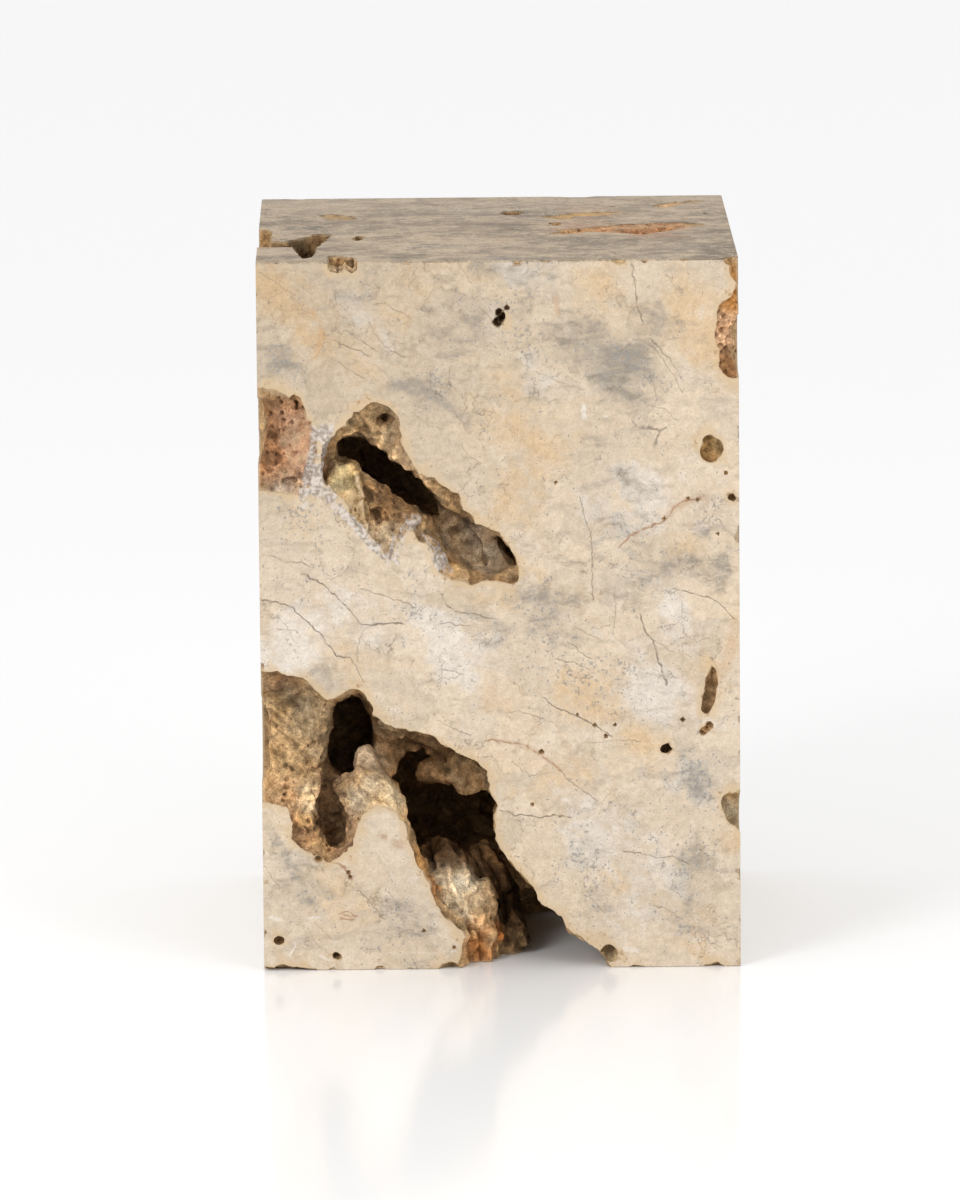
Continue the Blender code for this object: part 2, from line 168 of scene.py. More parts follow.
# Ridges and grooves of the great vugs, seen from the front: half width and height in mm, and
# their course in mm along x and up
FOLDS = [
    (4.0, 4.5, [(-16, 62), (-10, 50), (-6, 38), (-6, 28), (-7, 18), (-9, 0)]),
    (4.0, 4.0, [(3, 36), (7, 26), (11, 19), (15, 6)]),
    (3.0, -4.0, [(-51, 82), (-44, 64), (-38, 48), (-32, 39), (-21, 32), (-18, 20), (-22, 0)]),
    (3.6, -4.5, [(-16, 72), (-9, 60), (-1, 50), (2, 38), (3, 24), (4, 8)]),
    (2.6, -3.0, [(-16, 28), (-13, 16), (-13, 0)]),
    (2.2, 2.2, [(-34, 60), (-31, 48), (-26, 36)]),
    (2.2, 2.0, [(-26, 68), (-22, 56), (-18, 46)]),
    (3.0, 3.0, [(-23, 88), (-15, 74), (-7, 62), (0, 54)]),
    (2.2, -2.4, [(-10, 84), (-4, 70), (4, 56)]),
    (3.4, 3.6, [(-120, 132), (-122, 122), (-127, 110), (-131, 98)]),
    (2.6, -2.6, [(-104, 146), (-107, 136), (-104, 124)]),
    (3.0, 2.2, [(-88, 142), (-91, 130), (-93, 118)]),
    (2.4, -2.2, [(-96, 126), (-90, 116), (-82, 112), (-72, 108)]),
    (4.0, 2.6, [(-76, 156), (-62, 150), (-46, 146), (-34, 138)]),
    (3.0, -2.6, [(-66, 144), (-50, 136), (-36, 130)]),
    (5.0, 3.4, [(-36, 118), (-34, 113)]),
    (3.4, 2.2, [(-20, 132), (-10, 122), (-6, 110)]),
    (3.0, 2.4, [(-152, 172), (-142, 166), (-134, 160), (-128, 152)]),
    (2.6, -2.2, [(-146, 158), (-138, 152), (-130, 144)]),
    (2.4, 2.2, [(-118, 170), (-116, 158), (-118, 146)]),
    (2.0, 3.4, [(-91, 322), (-88, 312), (-87, 300), (-84, 286)]),
    (2.2, -2.6, [(-86, 320), (-83, 308), (-80, 296)]),
    (2.6, 2.4, [(-100, 356), (-92, 348), (-84, 344), (-74, 342)]),
    (2.4, -2.2, [(-92, 362), (-86, 354), (-82, 346)]),
    (2.4, 2.2, [(-64, 338), (-58, 330), (-50, 322)]),
    (3.0, 2.4, [(-34, 306), (-26, 296), (-16, 288)]),
    (2.6, -2.6, [(-40, 300), (-30, 290), (-20, 284)]),
    (2.4, -2.0, [(-22, 284), (-12, 272), (-8, 258)]),
    (2.4, 2.0, [(-96, 452), (-96, 446)]),
    (3.4, -3.6, [(-121, 115), (-120, 115)]),
    (3.0, -3.2, [(-103, 113), (-102, 113)]),
    (4.4, -5.0, [(-106, 94), (-105, 94)]),
    (2.4, -2.6, [(-142, 193), (-141, 193)]),
    (1.8, -2.4, [(-25, 84), (-24, 84)]),
    (1.8, -2.2, [(-38, 63), (-37, 63)]),
    (2.2, -2.6, [(4, 36), (5, 36)]),
    (1.6, -1.8, [(-101, 456), (-101, 446)]),
    (1.6, -1.8, [(-92, 456), (-92, 446)]),
]


def near_line(points, half_width, line):
    """How near points are to a line in the plane of the front: 1 on it, 0 at half its width."""
    off = np.full(len(points), np.inf)
    for start, end in zip(line, line[1:]):
        way = np.subtract(end, start)
        along = np.clip((points - start) @ way / (way @ way), 0, 1)
        off = np.minimum(off, np.hypot(*(points - start - along[:, None] * way).T))
    return np.clip(1 - off / half_width, 0, 1)


# The swaying noise takes its start from the clock unless it is given a seed
noise.seed_set(7)
shift = np.zeros_like(place)
rock = np.flatnonzero(broken)
kinds = texture_at(place[rock])
heights = np.array([relief(*told) for told in zip(place[rock], kinds)])
sway = np.array([noise.noise_vector(Vector(point) / 5) for point in place[rock]])
in_front = smooth_step(-place[rock, 1], 40, 60) * smooth_step(-normal[rock, 1], -0.5, 0.1)
seen = place[rock][:, [0, 2]] + 1.6 * sway[:, [0, 2]]
for half_width, height, line in FOLDS:
    heights += height * in_front * near_line(seen, half_width, line) ** 1.3
shift[rock] = normal[rock] * heights[:, None] + 0.6 * sway

# Next to a sawn face the rock may only move along it, so that the saw cut stays a plane
freedom = smooth_step(gap, 0, 2.5)
shift *= freedom
for _ in range(8):
    spread = 0.93 * neighbours_mean(shift) * (gap > SAW_CUT)
    shift = np.where(broken[:, None], shift, spread)
place = np.clip(place + shift, MIDDLE - HALF, MIDDLE + HALF)

# Nicks along the block's edges: where they bite, the edge is cut off at a slant
gap = HALF - abs(place - MIDDLE)
two_least = np.sort(gap, axis=1)[:, :2].sum(1)
edge = np.flatnonzero(two_least < 6)
nick = np.array([noise.noise(Vector(point) / 6) + noise.noise(Vector(point) / 17) for point in place[edge]])
bite = 0.5 + 7 * np.clip(nick - 0.46, 0, 0.45)
cut_back = np.clip(bite - two_least[edge], 0, None) / 2
along_edge = np.argmax(gap[edge], axis=1)
inward = -side[edge] * cut_back[:, None]
inward[np.arange(len(edge)), along_edge] = 0
place[edge] += inward

# Small holes in the sawn faces: the axis and end that they are on, middle and radius in mm
HOLES = [
    (1, -1, (26, 141), 1.7), (1, -1, (67, 151), 1.5), (1, -1, (60, 158), 1.3),
    (1, -1, (49, 165), 1.2), (1, -1, (73, 158), 1.2), (1, -1, (116, 161), 1.4),
    (1, -1, (133, 157), 2.6), (1, -1, (129, 153), 2.3), (1, -1, (20, 107), 1.3),
    (1, -1, (-117, 73), 2.6), (1, -1, (-98, 64), 1.5), (1, -1, (-97, 61), 1.4),
    (1, -1, (-50, 25), 1.3), (1, -1, (-31, 14), 1.3), (1, -1, (36, 315), 1.2),
    (1, -1, (144, 320), 1.3), (1, -1, (139, 281), 1.2), (1, -1, (6, 427), 1.7),
    (1, -1, (1, 424), 2.6), (1, -1, (0, 418), 3.0),
    (1, -1, (120, 304), 1.3), (1, -1, (126, 303), 1.2), (1, -1, (105, 291), 1.2),
]
random.seed(20)
for axis, end, rows in ((1, 1, 24), (0, -1, 22), (0, 1, 22), (2, 1, 12)):
    across, up = [each for each in (0, 1, 2) if each != axis]
    for _ in range(rows):
        a = random.uniform(-HALF[across] + 12, HALF[across] - 12)
        b = random.uniform(MIDDLE[up] - HALF[up] + 12, MIDDLE[up] + HALF[up] - 12)
        for _ in range(random.choice((1, 1, 1, 2, 3))):
            HOLES.append((axis, end, (a, b), random.uniform(1.0, 1.4 + 1.6 * random.random() ** 3)))
            a += random.uniform(-5, 9)
            b += random.choice((-1, 1)) * random.uniform(2, 8)

gap = HALF - abs(place - MIDDLE)
for axis, end, middle, radius in HOLES:
    others = [each for each in (0, 1, 2) if each != axis]
    on_face = np.flatnonzero((gap[:, axis] < 0.01) & (side[:, axis] == end))
    off = np.hypot(*(place[on_face][:, others] - middle).T) / radius
    depth = 1.5 * radius * np.sqrt(np.clip(1 - off**2, 0, 1))
    place[on_face, axis] -= end * depth

# How hollow or proud each point lies, fine and coarse, for the dirt and painted shade in the hollows and
# the painted highlight on the crests
spread = place
for _ in range(3):
    spread = neighbours_mean(spread)
hollow_fine = ((spread - place) * normal).sum(1)
for _ in range(14):
    spread = neighbours_mean(spread)
hollow_wide = ((spread - place) * normal).sum(1)

# How near each point of the sawn faces is to the broken rock
by_rock = broken[:, None].astype(float)
for _ in range(24):
    by_rock = np.maximum(neighbours_mean(by_rock), broken[:, None])

# A faint ripple on the sawn faces keeps a net of points on them while the mesh is thinned
RIPPLE, RIPPLE_LENGTH = 0.3, 58
turn = 2 * math.pi * place / RIPPLE_LENGTH
wave = np.sin(turn[:, 0] + turn[:, 1]) * np.sin(turn[:, 2] + 0.6 * turn[:, 0] - 0.6 * turn[:, 1])
sawn_here = (HALF - abs(place - MIDDLE)) < 0.01
place -= side * sawn_here * (RIPPLE * (0.5 + 0.5 * wave))[:, None]

chunk.data.vertices.foreach_set("co", (place * MM).astype(np.float32).ravel())
measures = (("hollow_fine", hollow_fine), ("hollow_wide", hollow_wide), ("by_rock", by_rock[:, 0]))
for name, values in measures:
    layer = chunk.data.attributes.new(name, "FLOAT", "POINT")
    layer.data.foreach_set("value", values.astype(np.float32))
chunk.data.update()

TRIANGLES = 198_000
thin = chunk.modifiers.new("thinned", "DECIMATE")
thin.ratio = TRIANGLES / (2 * len(chunk.data.polygons))
finish_modifiers(chunk)
place = on_saw_cuts(read(chunk.data.vertices, "co", 3).astype(float) / MM)
chunk.data.vertices.foreach_set("co", (place * MM).astype(np.float32).ravel())

# The sawn faces are shaded flat, and the broken rock keeps its sharp crests
facets = bmesh.new()
facets.from_mesh(chunk.data)
facets.normal_update()
for face in facets.faces:
    face.smooth = not any(abs(abs(axis) - 1) < 0.004 for axis in face.normal)
for edge in facets.edges:
    edge.smooth = len(edge.link_faces) == 2 and edge.calc_face_angle(0) < math.radians(48)
facets.to_mesh(chunk.data)
facets.free()


# Colours in the photograph's own light, as red, green and blue out of 255
def colour(red, green, blue, share=0.8):
    """A colour of the screen as the share of light that the stone sends back."""
    linear = [((v / 255 + 0.055) / 1.055) ** 2.4 for v in (red, green, blue)]
    return [share * v for v in linear]


# The clouds of the sawn faces: middle and reach in mm, how grey, how tan, how pale
CLOUDS = [
    ((-4, -152, 436), 26, 0.9, 0.0, 0.2),
    ((12, -152, 452), 10, 0.0, 0.0, 1.0),
    ((44, -152, 412), 16, 0.7, 0.0, 0.1),
    ((58, -152, 398), 18, 0.9, 0.0, 0.1),
    ((66, -152, 386), 16, 1.1, 0.0, 0.0),
    ((85, -152, 388), 18, 1.3, 0.0, 0.0),
    ((80, -152, 368), 14, 0.7, 0.2, 0.0),
    ((103, -152, 418), 11, 0.9, 0.2, 0.1),
    ((92, -152, 440), 13, 0.5, 0.0, 0.2),
    ((-18, -152, 403), 20, 0.9, 0.1, 0.1),
    ((-40, -152, 374), 16, 0.7, 0.1, 0.0),
    ((-79, -152, 386), 12, 0.7, 0.2, 0.0),
    ((-58, -152, 376), 12, 0.8, 0.0, 0.0),
    ((-24, -152, 362), 12, 0.7, 0.1, 0.0),
    ((-142, -152, 402), 11, 0.9, 0.0, 0.1),
    ((-128, -152, 388), 12, 0.8, 0.0, 0.1),
    ((-88, -152, 432), 14, 0.6, 0.0, 0.4),
    ((-104, -152, 440), 10, 0.5, 0.0, 0.2),
    ((32, -152, 233), 20, 1.1, 0.0, 0.1),
    ((14, -152, 244), 16, 0.6, 0.0, 0.1),
    ((4, -152, 222), 14, 0.7, 0.0, 0.1),
    ((60, -152, 250), 20, 0.4, 0.0, 0.3),
    ((94, -152, 252), 17, 0.9, 0.0, 0.2),
    ((120, -152, 258), 15, 0.7, 0.0, 0.1),
    ((140, -152, 264), 16, 0.9, 0.0, 0.1),
    ((94, -152, 320), 30, 0.3, 0.0, 0.5),
    ((64, -152, 300), 26, 0.4, 0.0, 0.6),
    ((-64, -152, 244), 16, 0.5, 0.1, 0.1),
    ((-88, -152, 256), 16, 0.4, 0.1, 0.1),
    ((-106, -152, 186), 14, 0.9, 0.0, 0.2),
    ((-116, -152, 196), 12, 0.5, 0.0, 0.3),
    ((56, -152, 76), 17, 0.7, 0.0, 0.6),
    ((118, -152, 112), 20, 0.7, 0.0, 0.4),
    ((127, -152, 131), 16, 0.7, 0.0, 0.3),
    ((126, -152, 66), 18, 0.7, 0.0, 0.3),
    ((120, -152, 40), 12, 0.7, 0.0, 0.2),
    ((66, -152, 40), 11, 0.5, 0.0, 0.2),
    ((-124, -152, 50), 15, 1.0, 0.0, 0.1),
    ((-142, -152, 76), 12, 0.6, 0.0, 0.1),
    ((-63, -152, 41), 12, 0.8, 0.0, 0.1),
    ((-57, -152, 11), 16, 0.8, 0.0, 0.1),
    ((-88, -152, 12), 14, 0.5, 0.0, 0.1),
    ((-118, -152, 408), 12, 0.0, 1.1, 0.0),
    ((-106, -152, 402), 12, 0.0, 0.6, 0.0),
    ((-90, -152, 398), 14, 0.2, 0.8, 0.0),
    ((-140, -152, 440), 20, 0.0, 0.8, 0.0),
    ((-126, -152, 424), 14, 0.0, 0.8, 0.0),
    ((-66, -152, 414), 16, 0.0, 0.9, 0.0),
    ((-60, -152, 440), 18, 0.0, 0.7, 0.0),
    ((-138, -152, 384), 10, 0.0, 0.7, 0.0),
    ((-104, -152, 368), 14, 0.0, 0.6, 0.0),
    ((18, -152, 412), 10, 0.0, 1.0, 0.0),
    ((38, -152, 428), 5, 0.0, 1.2, 0.0),
    ((64, -152, 440), 16, 0.0, 0.8, 0.0),
    ((126, -152, 434), 26, 0.0, 1.0, 0.0),
    ((134, -152, 400), 22, 0.0, 0.8, 0.1),
    ((4, -152, 388), 12, 0.0, 0.8, 0.0),
    ((10, -152, 350), 26, 0.0, 0.7, 0.1),
    ((30, -152, 330), 14, 0.0, 0.8, 0.0),
    ((100, -152, 350), 14, 0.0, 0.7, 0.0),
    ((104, -152, 310), 22, 0.0, 0.6, 0.1),
    ((10, -152, 300), 22, 0.0, 0.9, 0.1),
    ((18, -152, 262), 10, 0.0, 1.0, 0.0),
    ((-6, -152, 240), 12, 0.0, 1.1, 0.0),
    ((-26, -152, 244), 10, 0.0, 0.9, 0.0),
    ((60, -152, 236), 12, 0.0, 0.7, 0.0),
    ((118, -152, 276), 16, 0.0, 0.7, 0.0),
    ((-5, -152, 190), 6, 0.0, 1.0, 0.0),
    ((-7, -152, 174), 9, 0.0, 1.3, 0.0),
    ((-22, -152, 164), 10, 0.0, 0.9, 0.0),
    ((44, -152, 182), 16, 0.0, 0.7, 0.0),
    ((66, -152, 172), 22, 0.0, 0.8, 0.0),
    ((98, -152, 152), 9, 0.0, 1.7, 0.0),
    ((90, -152, 146), 9, 0.0, 0.9, 0.0),
    ((46, -152, 126), 16, 0.0, 0.8, 0.0),
    ((66, -152, 122), 11, 0.0, 1.0, 0.0),
    ((16, -152, 120), 16, 0.0, 0.6, 0.0),
    ((136, -152, 196), 10, 0.0, 1.0, 0.0),
    ((150, -152, 214), 8, 0.0, 1.0, 0.0),
    ((-90, -152, 196), 18, 0.0, 0.7, 0.0),
    ((-106, -152, 212), 14, 0.0, 0.6, 0.2),
    ((-60, -152, 196), 22, 0.0, 0.5, 0.1),
    ((70, -152, 52), 10, 0.0, 1.0, 0.0),
    ((110, -152, 90), 10, 0.0, 0.8, 0.0),
    ((84, -152, 22), 14, 0.0, 0.7, 0.1),
    ((118, -152, 16), 18, 0.0, 1.1, 0.0),
    ((146, -152, 84), 10, 0.0, 1.0, 0.0),
    ((-128, -152, 66), 14, 0.1, 0.6, 0.0),
    ((-96, -152, 46), 22, 0.1, 0.7, 0.0),
    ((-118, -152, 14), 16, 0.1, 0.7, 0.0),
    ((-120, -152, 232), 16, 0.0, 0.0, 0.9),
    ((-140, -152, 206), 16, 0.0, 0.0, 1.1),
    ((-130, -152, 214), 16, 0.0, 0.0, 0.8),
    ((-128, -152, 290), 30, 0.0, 0.4, 0.3),
    ((-36, -152, 216), 20, 0.2, 0.0, 1.0),
    ((-20, -152, 200), 18, 0.2, 0.0, 0.8),
    ((72, -152, 212), 12, 0.1, 0.0, 0.9),
    ((106, -152, 228), 16, 0.0, 0.0, 0.9),
    ((96, -152, 176), 18, 0.0, 0.0, 1.0),
    ((50, -152, 96), 16, 0.2, 0.0, 0.8),
    ((96, -152, 60), 24, 0.2, 0.0, 0.9),
    ((-72, -152, 430), 12, 0.1, 0.0, 0.7),
    ((26, -152, 386), 14, 0.3, 0.0, 0.8),
    ((-88, -152, 80), 9, 0.0, 0.3, 0.6),
    ((-140, -152, 36), 8, 0.1, 0.0, 0.9),
    ((0, 152, 380), 60, 0.9, 0.1, 0.2),
    ((80, 152, 300), 50, 0.1, 0.9, 0.2),
    ((-90, 152, 220), 50, 0.2, 0.9, 0.1),
    ((30, 152, 120), 60, 0.7, 0.0, 0.7),
    ((-110, 152, 40), 50, 0.0, 0.9, 0.0),
    ((-152, 60, 300), 50, 0.9, 0.1, 0.2),
    ((-152, -40, 200), 50, 0.1, 0.9, 0.2),
    ((-152, 90, 60), 50, 0.3, 0.2, 0.9),
    ((-152, 0, 420), 50, 0.5, 0.7, 0.0),
    ((152, -60, 320), 50, 0.8, 0.1, 0.3),
    ((152, 70, 400), 50, 0.1, 0.9, 0.1),
    ((152, 40, 120), 60, 0.2, 0.8, 0.2),
    ((152, -80, 60), 50, 0.8, 0.0, 0.5),
    ((96, -30, 457), 34, 0.0, 1.2, 0.0),
    ((52, 10, 457), 28, 0.0, 1.0, 0.0),
    ((66, 66, 457), 26, 0.0, 1.0, 0.0),
    ((-100, -130, 457), 20, 0.0, 0.6, 0.0),
    ((-40, -90, 457), 24, 0.8, 0.0, 0.0),
    ((-10, 60, 457), 40, 0.5, 0.0, 0.0),
    ((120, -110, 457), 40, 0.7, 0.0, 0.0),
]

# Where the grey specks crowd on the sawn faces: middle and reach in mm, and how thickly
SPECKLED = [
    ((84, -152, 390), 22, 1.0), ((70, -152, 398), 16, 0.8), ((5, -152, 432), 20, 0.7),
    ((-142, -152, 400), 13, 0.9), ((-14, -152, 402), 18, 0.9), ((-131, -152, 389), 15, 0.6),
    ((-123, -152, 286), 18, 0.7), ((-40, -152, 375), 18, 0.6), ((-87, -152, 256), 14, 0.6),
    ((-51, -152, 243), 14, 0.6), ((56, -152, 77), 15, 1.2), ((129, -152, 66), 16, 1.2),
    ((78, -152, 56), 7, 1.2), ((120, -152, 40), 12, 1.0), ((63, -152, 39), 10, 0.9),
    ((88, -152, 95), 14, 0.9), ((116, -152, 84), 12, 1.0), ((119, -152, 110), 15, 1.0),
    ((-124, -152, 50), 14, 1.0), ((-63, -152, 41), 11, 0.9), ((-56, -152, 10), 14, 1.0),
    ((-89, -152, 11), 12, 0.7), ((32, -152, 233), 16, 1.0), ((94, -152, 253), 12, 0.8),
    ((135, -152, 262), 16, 0.8), ((127, -152, 127), 16, 0.9), ((30, -152, 201), 22, 0.5),
    ((63, -152, 187), 22, 0.5), ((83, -152, 330), 30, 0.4), ((22, -152, 402), 18, 0.8),
    ((-20, -152, 150), 16, 0.5), ((20, 152, 130), 40, 0.8), ((-60, 152, 360), 36, 0.8),
    ((-152, 40, 320), 36, 0.8), ((-152, -60, 120), 30, 0.7), ((152, -40, 330), 34, 0.8),
    ((152, 60, 160), 34, 0.7),
]

# The walls of the vugs: middle and reach in mm, and the colour there. The colours hold painted light and
# shade: the darkest are painted shade deep in the hollows and slits, and those over 255 are lightened as
# painted light where the recesses keep them dim
WALLS = [
    ((-140, -150, 184), 9, (150, 118, 88)),
    ((-134, -146, 172), 11, (166, 144, 112)),
    ((-144, -146, 158), 12, (180, 150, 110)),
    ((-144, -146, 136), 16, (214, 178, 130)),
    ((-140, -146, 112), 12, (212, 172, 128)),
    ((-124, -142, 158), 13, (186, 164, 130)),
    ((-118, -142, 140), 9, (172, 148, 114)),
    ((-110, -138, 150), 8, (134, 104, 70)),
    ((-123, -142, 112), 8, (270, 246, 204)),
    ((-128, -142, 98), 6, (226, 182, 122)),
    ((-128, -146, 88), 6, (186, 146, 108)),
    ((-113, -138, 116), 8, (118, 88, 62)),
    ((-112, -136, 98), 10, (108, 80, 56)),
    ((-106, -126, 84), 8, (150, 118, 84)),
    ((-103, -148, 77), 6, (186, 148, 114)),
    ((-96, -146, 92), 7, (196, 162, 128)),
    ((-85, -126, 136), 10, (238, 212, 180)),
    ((-94, -128, 122), 9, (186, 156, 126)),
    ((-84, -140, 114), 9, (240, 220, 188)),
    ((-74, -146, 106), 9, (238, 214, 174)),
    ((-62, -148, 94), 8, (224, 188, 138)),
    ((-54, -146, 70), 7, (196, 148, 92)),
    ((-46, -146, 52), 7, (188, 138, 90)),
    ((-98, -110, 160), 26, (120, 90, 60)),
    ((-106, -80, 140), 36, (104, 76, 50)),
    ((-74, -140, 158), 13, (176, 156, 124)),
    ((-54, -138, 146), 13, (142, 118, 88)),
    ((-32, -132, 136), 13, (128, 104, 74)),
    ((-36, -116, 116), 11, (150, 118, 84)),
    ((-16, -136, 122), 10, (150, 126, 96)),
    ((-8, -136, 108), 8, (110, 86, 60)),
    ((-30, -90, 104), 22, (168, 126, 82)),
    ((-50, -80, 100), 30, (140, 102, 66)),
    ((-20, -70, 80), 30, (120, 88, 56)),
    ((-46, -118, 74), 9, (86, 62, 40)),
    ((-38, -116, 69), 12, (82, 60, 40)),
    ((-24, -120, 70), 7, (96, 70, 48)),
    ((-36, -122, 46), 12, (270, 256, 226)),
    ((-24, -124, 38), 11, (262, 244, 210)),
    ((-14, -126, 30), 7, (228, 186, 136)),
    ((-26, -134, 20), 8, (200, 142, 86)),
    ((-14, -134, 12), 9, (196, 134, 80)),
    ((-6, -136, 14), 5, (246, 210, 160)),
    ((12, -134, 12), 6, (244, 214, 168)),
    ((4, -124, 16), 6, (176, 112, 60)),
    ((-56, -146, 60), 7, (204, 156, 98)),
    ((-27, -150, 14), 6, (224, 176, 132)),
    ((-14, -100, 66), 10, (168, 142, 112)),
    ((-4, -96, 54), 9, (136, 108, 78)),
    ((8, -100, 30), 16, (66, 46, 28)),
    ((24, -80, 34), 30, (56, 40, 25)),
    ((2, -70, 20), 22, (66, 47, 30)),
    ((66, -146, 12), 9, (196, 174, 138)),
    ((-92, -146, 356), 9, (214, 182, 136)),
    ((-78, -142, 350), 10, (220, 190, 148)),
    ((-70, -146, 362), 8, (214, 188, 150)),
    ((-104, -148, 340), 7, (176, 142, 100)),
    ((-64, -142, 336), 9, (218, 188, 148)),
    ((-52, -144, 322), 8, (214, 184, 146)),
    ((-80, -100, 330), 22, (58, 41, 27)),
    ((-50, -90, 300), 22, (50, 35, 23)),
    ((-38, -128, 300), 10, (108, 84, 62)),
    ((-24, -128, 290), 9, (146, 122, 96)),
    ((-20, -124, 276), 11, (184, 162, 134)),
    ((-8, -124, 266), 10, (196, 176, 150)),
    ((6, -130, 268), 6, (50, 36, 24)),
    ((-99, -150, 320), 8, (212, 190, 142)),
    ((-90, -150, 300), 9, (206, 176, 130)),
    ((-74, -148, 306), 9, (136, 104, 72)),
    ((-66, -148, 292), 9, (150, 118, 82)),
    ((-74, -150, 282), 8, (200, 178, 148)),
    ((-34, -150, 268), 8, (176, 142, 98)),
    ((-108, -148, 328), 5, (86, 62, 42)),
    ((-146, -150, 352), 14, (150, 108, 74)),
    ((-146, -150, 330), 14, (168, 124, 90)),
    ((-130, -150, 350), 12, (196, 152, 122)),
    ((-126, -150, 330), 12, (204, 162, 132)),
    ((-134, -150, 314), 8, (226, 202, 176)),
    ((146, -150, 408), 12, (230, 188, 150)),
    ((147, -150, 388), 9, (178, 132, 90)),
    ((150, -150, 436), 10, (222, 160, 92)),
    ((135, -150, 336), 8, (170, 138, 92)),
    ((133, -148, 180), 13, (186, 154, 114)),
    ((106, -146, 142), 4, (110, 84, 62)),
    ((146, -148, 100), 9, (186, 166, 134)),
    ((151, -146, 110), 6, (222, 176, 104)),
    ((-118, -52, 452), 14, (142, 122, 94)),
    ((-118, -52, 420), 22, (60, 46, 32)),
    ((-148, -50, 450), 14, (150, 124, 92)),
    ((-98, -150, 452), 12, (204, 180, 146)),
    ((2, -150, 420), 5, (70, 54, 40)),
    ((90, 0, 456), 30, (212, 160, 120)),
    ((60, 60, 456), 26, (230, 190, 124)),
    ((120, 104, 456), 18, (226, 184, 140)),
    ((92, -10, 450), 14, (128, 90, 60)),
    ((114, -6, 450), 8, (60, 40, 28)),
    ((12, 74, 452), 8, (112, 84, 60)),
]
PLAIN_WALL = (196, 164, 122)
# The colour of the painted shade deep in the vugs
DEEP_SHADE = (122, 90, 58)

place = read(chunk.data.vertices, "co", 3).astype(float) / MM
gap = (HALF - abs(place - MIDDLE)).min(1)


def billow(points, size, seed):
    """Soft noise about 0 at each point, in billows of the size in mm."""
    apart = Vector((seed, 2 * seed, 0))
    return np.array([noise.noise(Vector(point) / size + apart) for point in points])


sway = np.array([noise.noise_vector(Vector(point) / 22) for point in place])
curl = np.array([noise.noise_vector(Vector(point) / 7) for point in place])
swayed = place + 9 * sway + 3 * curl

clouds = np.zeros((len(place), 4))
for middle, reach, *amounts in CLOUDS:
    near = np.exp(-(((swayed - middle) ** 2).sum(1)) / (0.9 * reach**2))
    clouds[:, :3] += near[:, None] * amounts
for middle, reach, amount in SPECKLED:
    clouds[:, 3] += amount * np.exp(-(((swayed - middle) ** 2).sum(1)) / (0.9 * reach**2))
for channel, seed in enumerate((3, 11, 23, 31)):
    clouds[:, channel] += 0.55 * billow(swayed, 34, seed) + 0.25 * billow(place, 15, seed)
clouds = np.clip(clouds + (0, 0.05, 0.05, 0), 0, 1.5)

plain = np.array(colour(*PLAIN_WALL))
wall = np.tile(0.05 * plain, (len(place), 1))
weight = np.full(len(place), 0.05)
near_by = place + 4 * sway + 2.5 * curl
for middle, reach, shade in WALLS:
    near = np.exp(-(((near_by - middle) ** 2).sum(1)) / (0.7 * reach**2))
    wall += near[:, None] * np.array(colour(*shade))
    weight += near
wall /= weight[:, None]
# Deeper into the block the walls are painted darker: painted shade
depth_shade = smooth_step(gap, 26, 66)[:, None] * 0.8
wall = wall * (1 - depth_shade) + np.array(colour(*DEEP_SHADE)) * depth_shade
shade = 1.08 + 0.6 * billow(place, 8, 41) + 0.35 * billow(place, 3.6, 43)
wall *= np.clip(shade, 0.55, 1.5)[:, None]
for seed, rich, into in ((47, 0.8, (1.04, 0.97, 0.88)), (53, 0.8, (0.90, 0.96, 1.06))):
    much = np.clip(rich * 2.6 * billow(place, 12, seed), 0, 1)[:, None]
    wall *= 1 + much * (np.array(into) - 1)
wall = np.hstack([wall, np.ones((len(place), 1))])

for name, values in (("clouds", clouds), ("wall", wall)):
    layer = chunk.data.attributes.new(name, "FLOAT_COLOR", "POINT")
    layer.data.foreach_set("color", values.astype(np.float32).ravel())

stone = bpy.data.materials.new("travertine")
stone.use_nodes = True
stone.node_tree.nodes.clear()


def node(kind, settings=None, inputs=None):
    """One node of the stone's material. An input is a value or another node's output."""
    made = stone.node_tree.nodes.new(kind)
    for name, value in (settings or {}).items():
        setattr(made, name, value)
    for name, value in (inputs or {}).items():
        if isinstance(value, bpy.types.NodeSocket):
            stone.node_tree.links.new(value, made.inputs[name])
        else:
            made.inputs[name].default_value = value
    return made


def maths(operation, *values, clamp=False):
    settings = {"operation": operation, "use_clamp": clamp}
    return node("ShaderNodeMath", settings, dict(enumerate(values))).outputs[0]


def vectors(operation, *values):
    return node("ShaderNodeVectorMath", {"operation": operation}, dict(enumerate(values))).outputs[0]


def grown(place, size):
    """The place in units of a pattern's own size, which is in mm."""
    scaled = node("ShaderNodeVectorMath", {"operation": "SCALE"}, {0: place, "Scale": 1 / size})
    return scaled.outputs[0]


def cloudy(place, size, detail=3, roughness=0.55, output="Factor"):
    inputs = {"Vector": grown(place, size), "Scale": 1, "Detail": detail, "Roughness": roughness}
    made = node("ShaderNodeTexNoise", {}, inputs)
    return made.outputs["Color" if output == "Color" else 0]


def between(value, low, high):
    """0 at low, 1 at high, and smooth between them."""
    settings = {"interpolation_type": "SMOOTHSTEP"}
    inputs = {"Value": value, "From Min": low, "From Max": high}
    return node("ShaderNodeMapRange", settings, inputs).outputs[0]


def tint(share, under, over, way="MIX"):
    settings = {"data_type": "RGBA", "blend_type": way}
    mixed = node("ShaderNodeMix", settings, {0: share})
    for index, value in ((6, under), (7, over)):
        if isinstance(value, bpy.types.NodeSocket):
            stone.node_tree.links.new(value, mixed.inputs[index])
        else:
            mixed.inputs[index].default_value = (*value[:3], 1)
    return mixed.outputs[2]


def times(*values):
    """Shares multiplied together."""
    product = values[0]
    for value in values[1:]:
        product = maths("MULTIPLY", product, value)
    return product


def plus(*values):
    total = values[0]
    for value in values[1:]:
        total = maths("ADD", total, value)
    return total


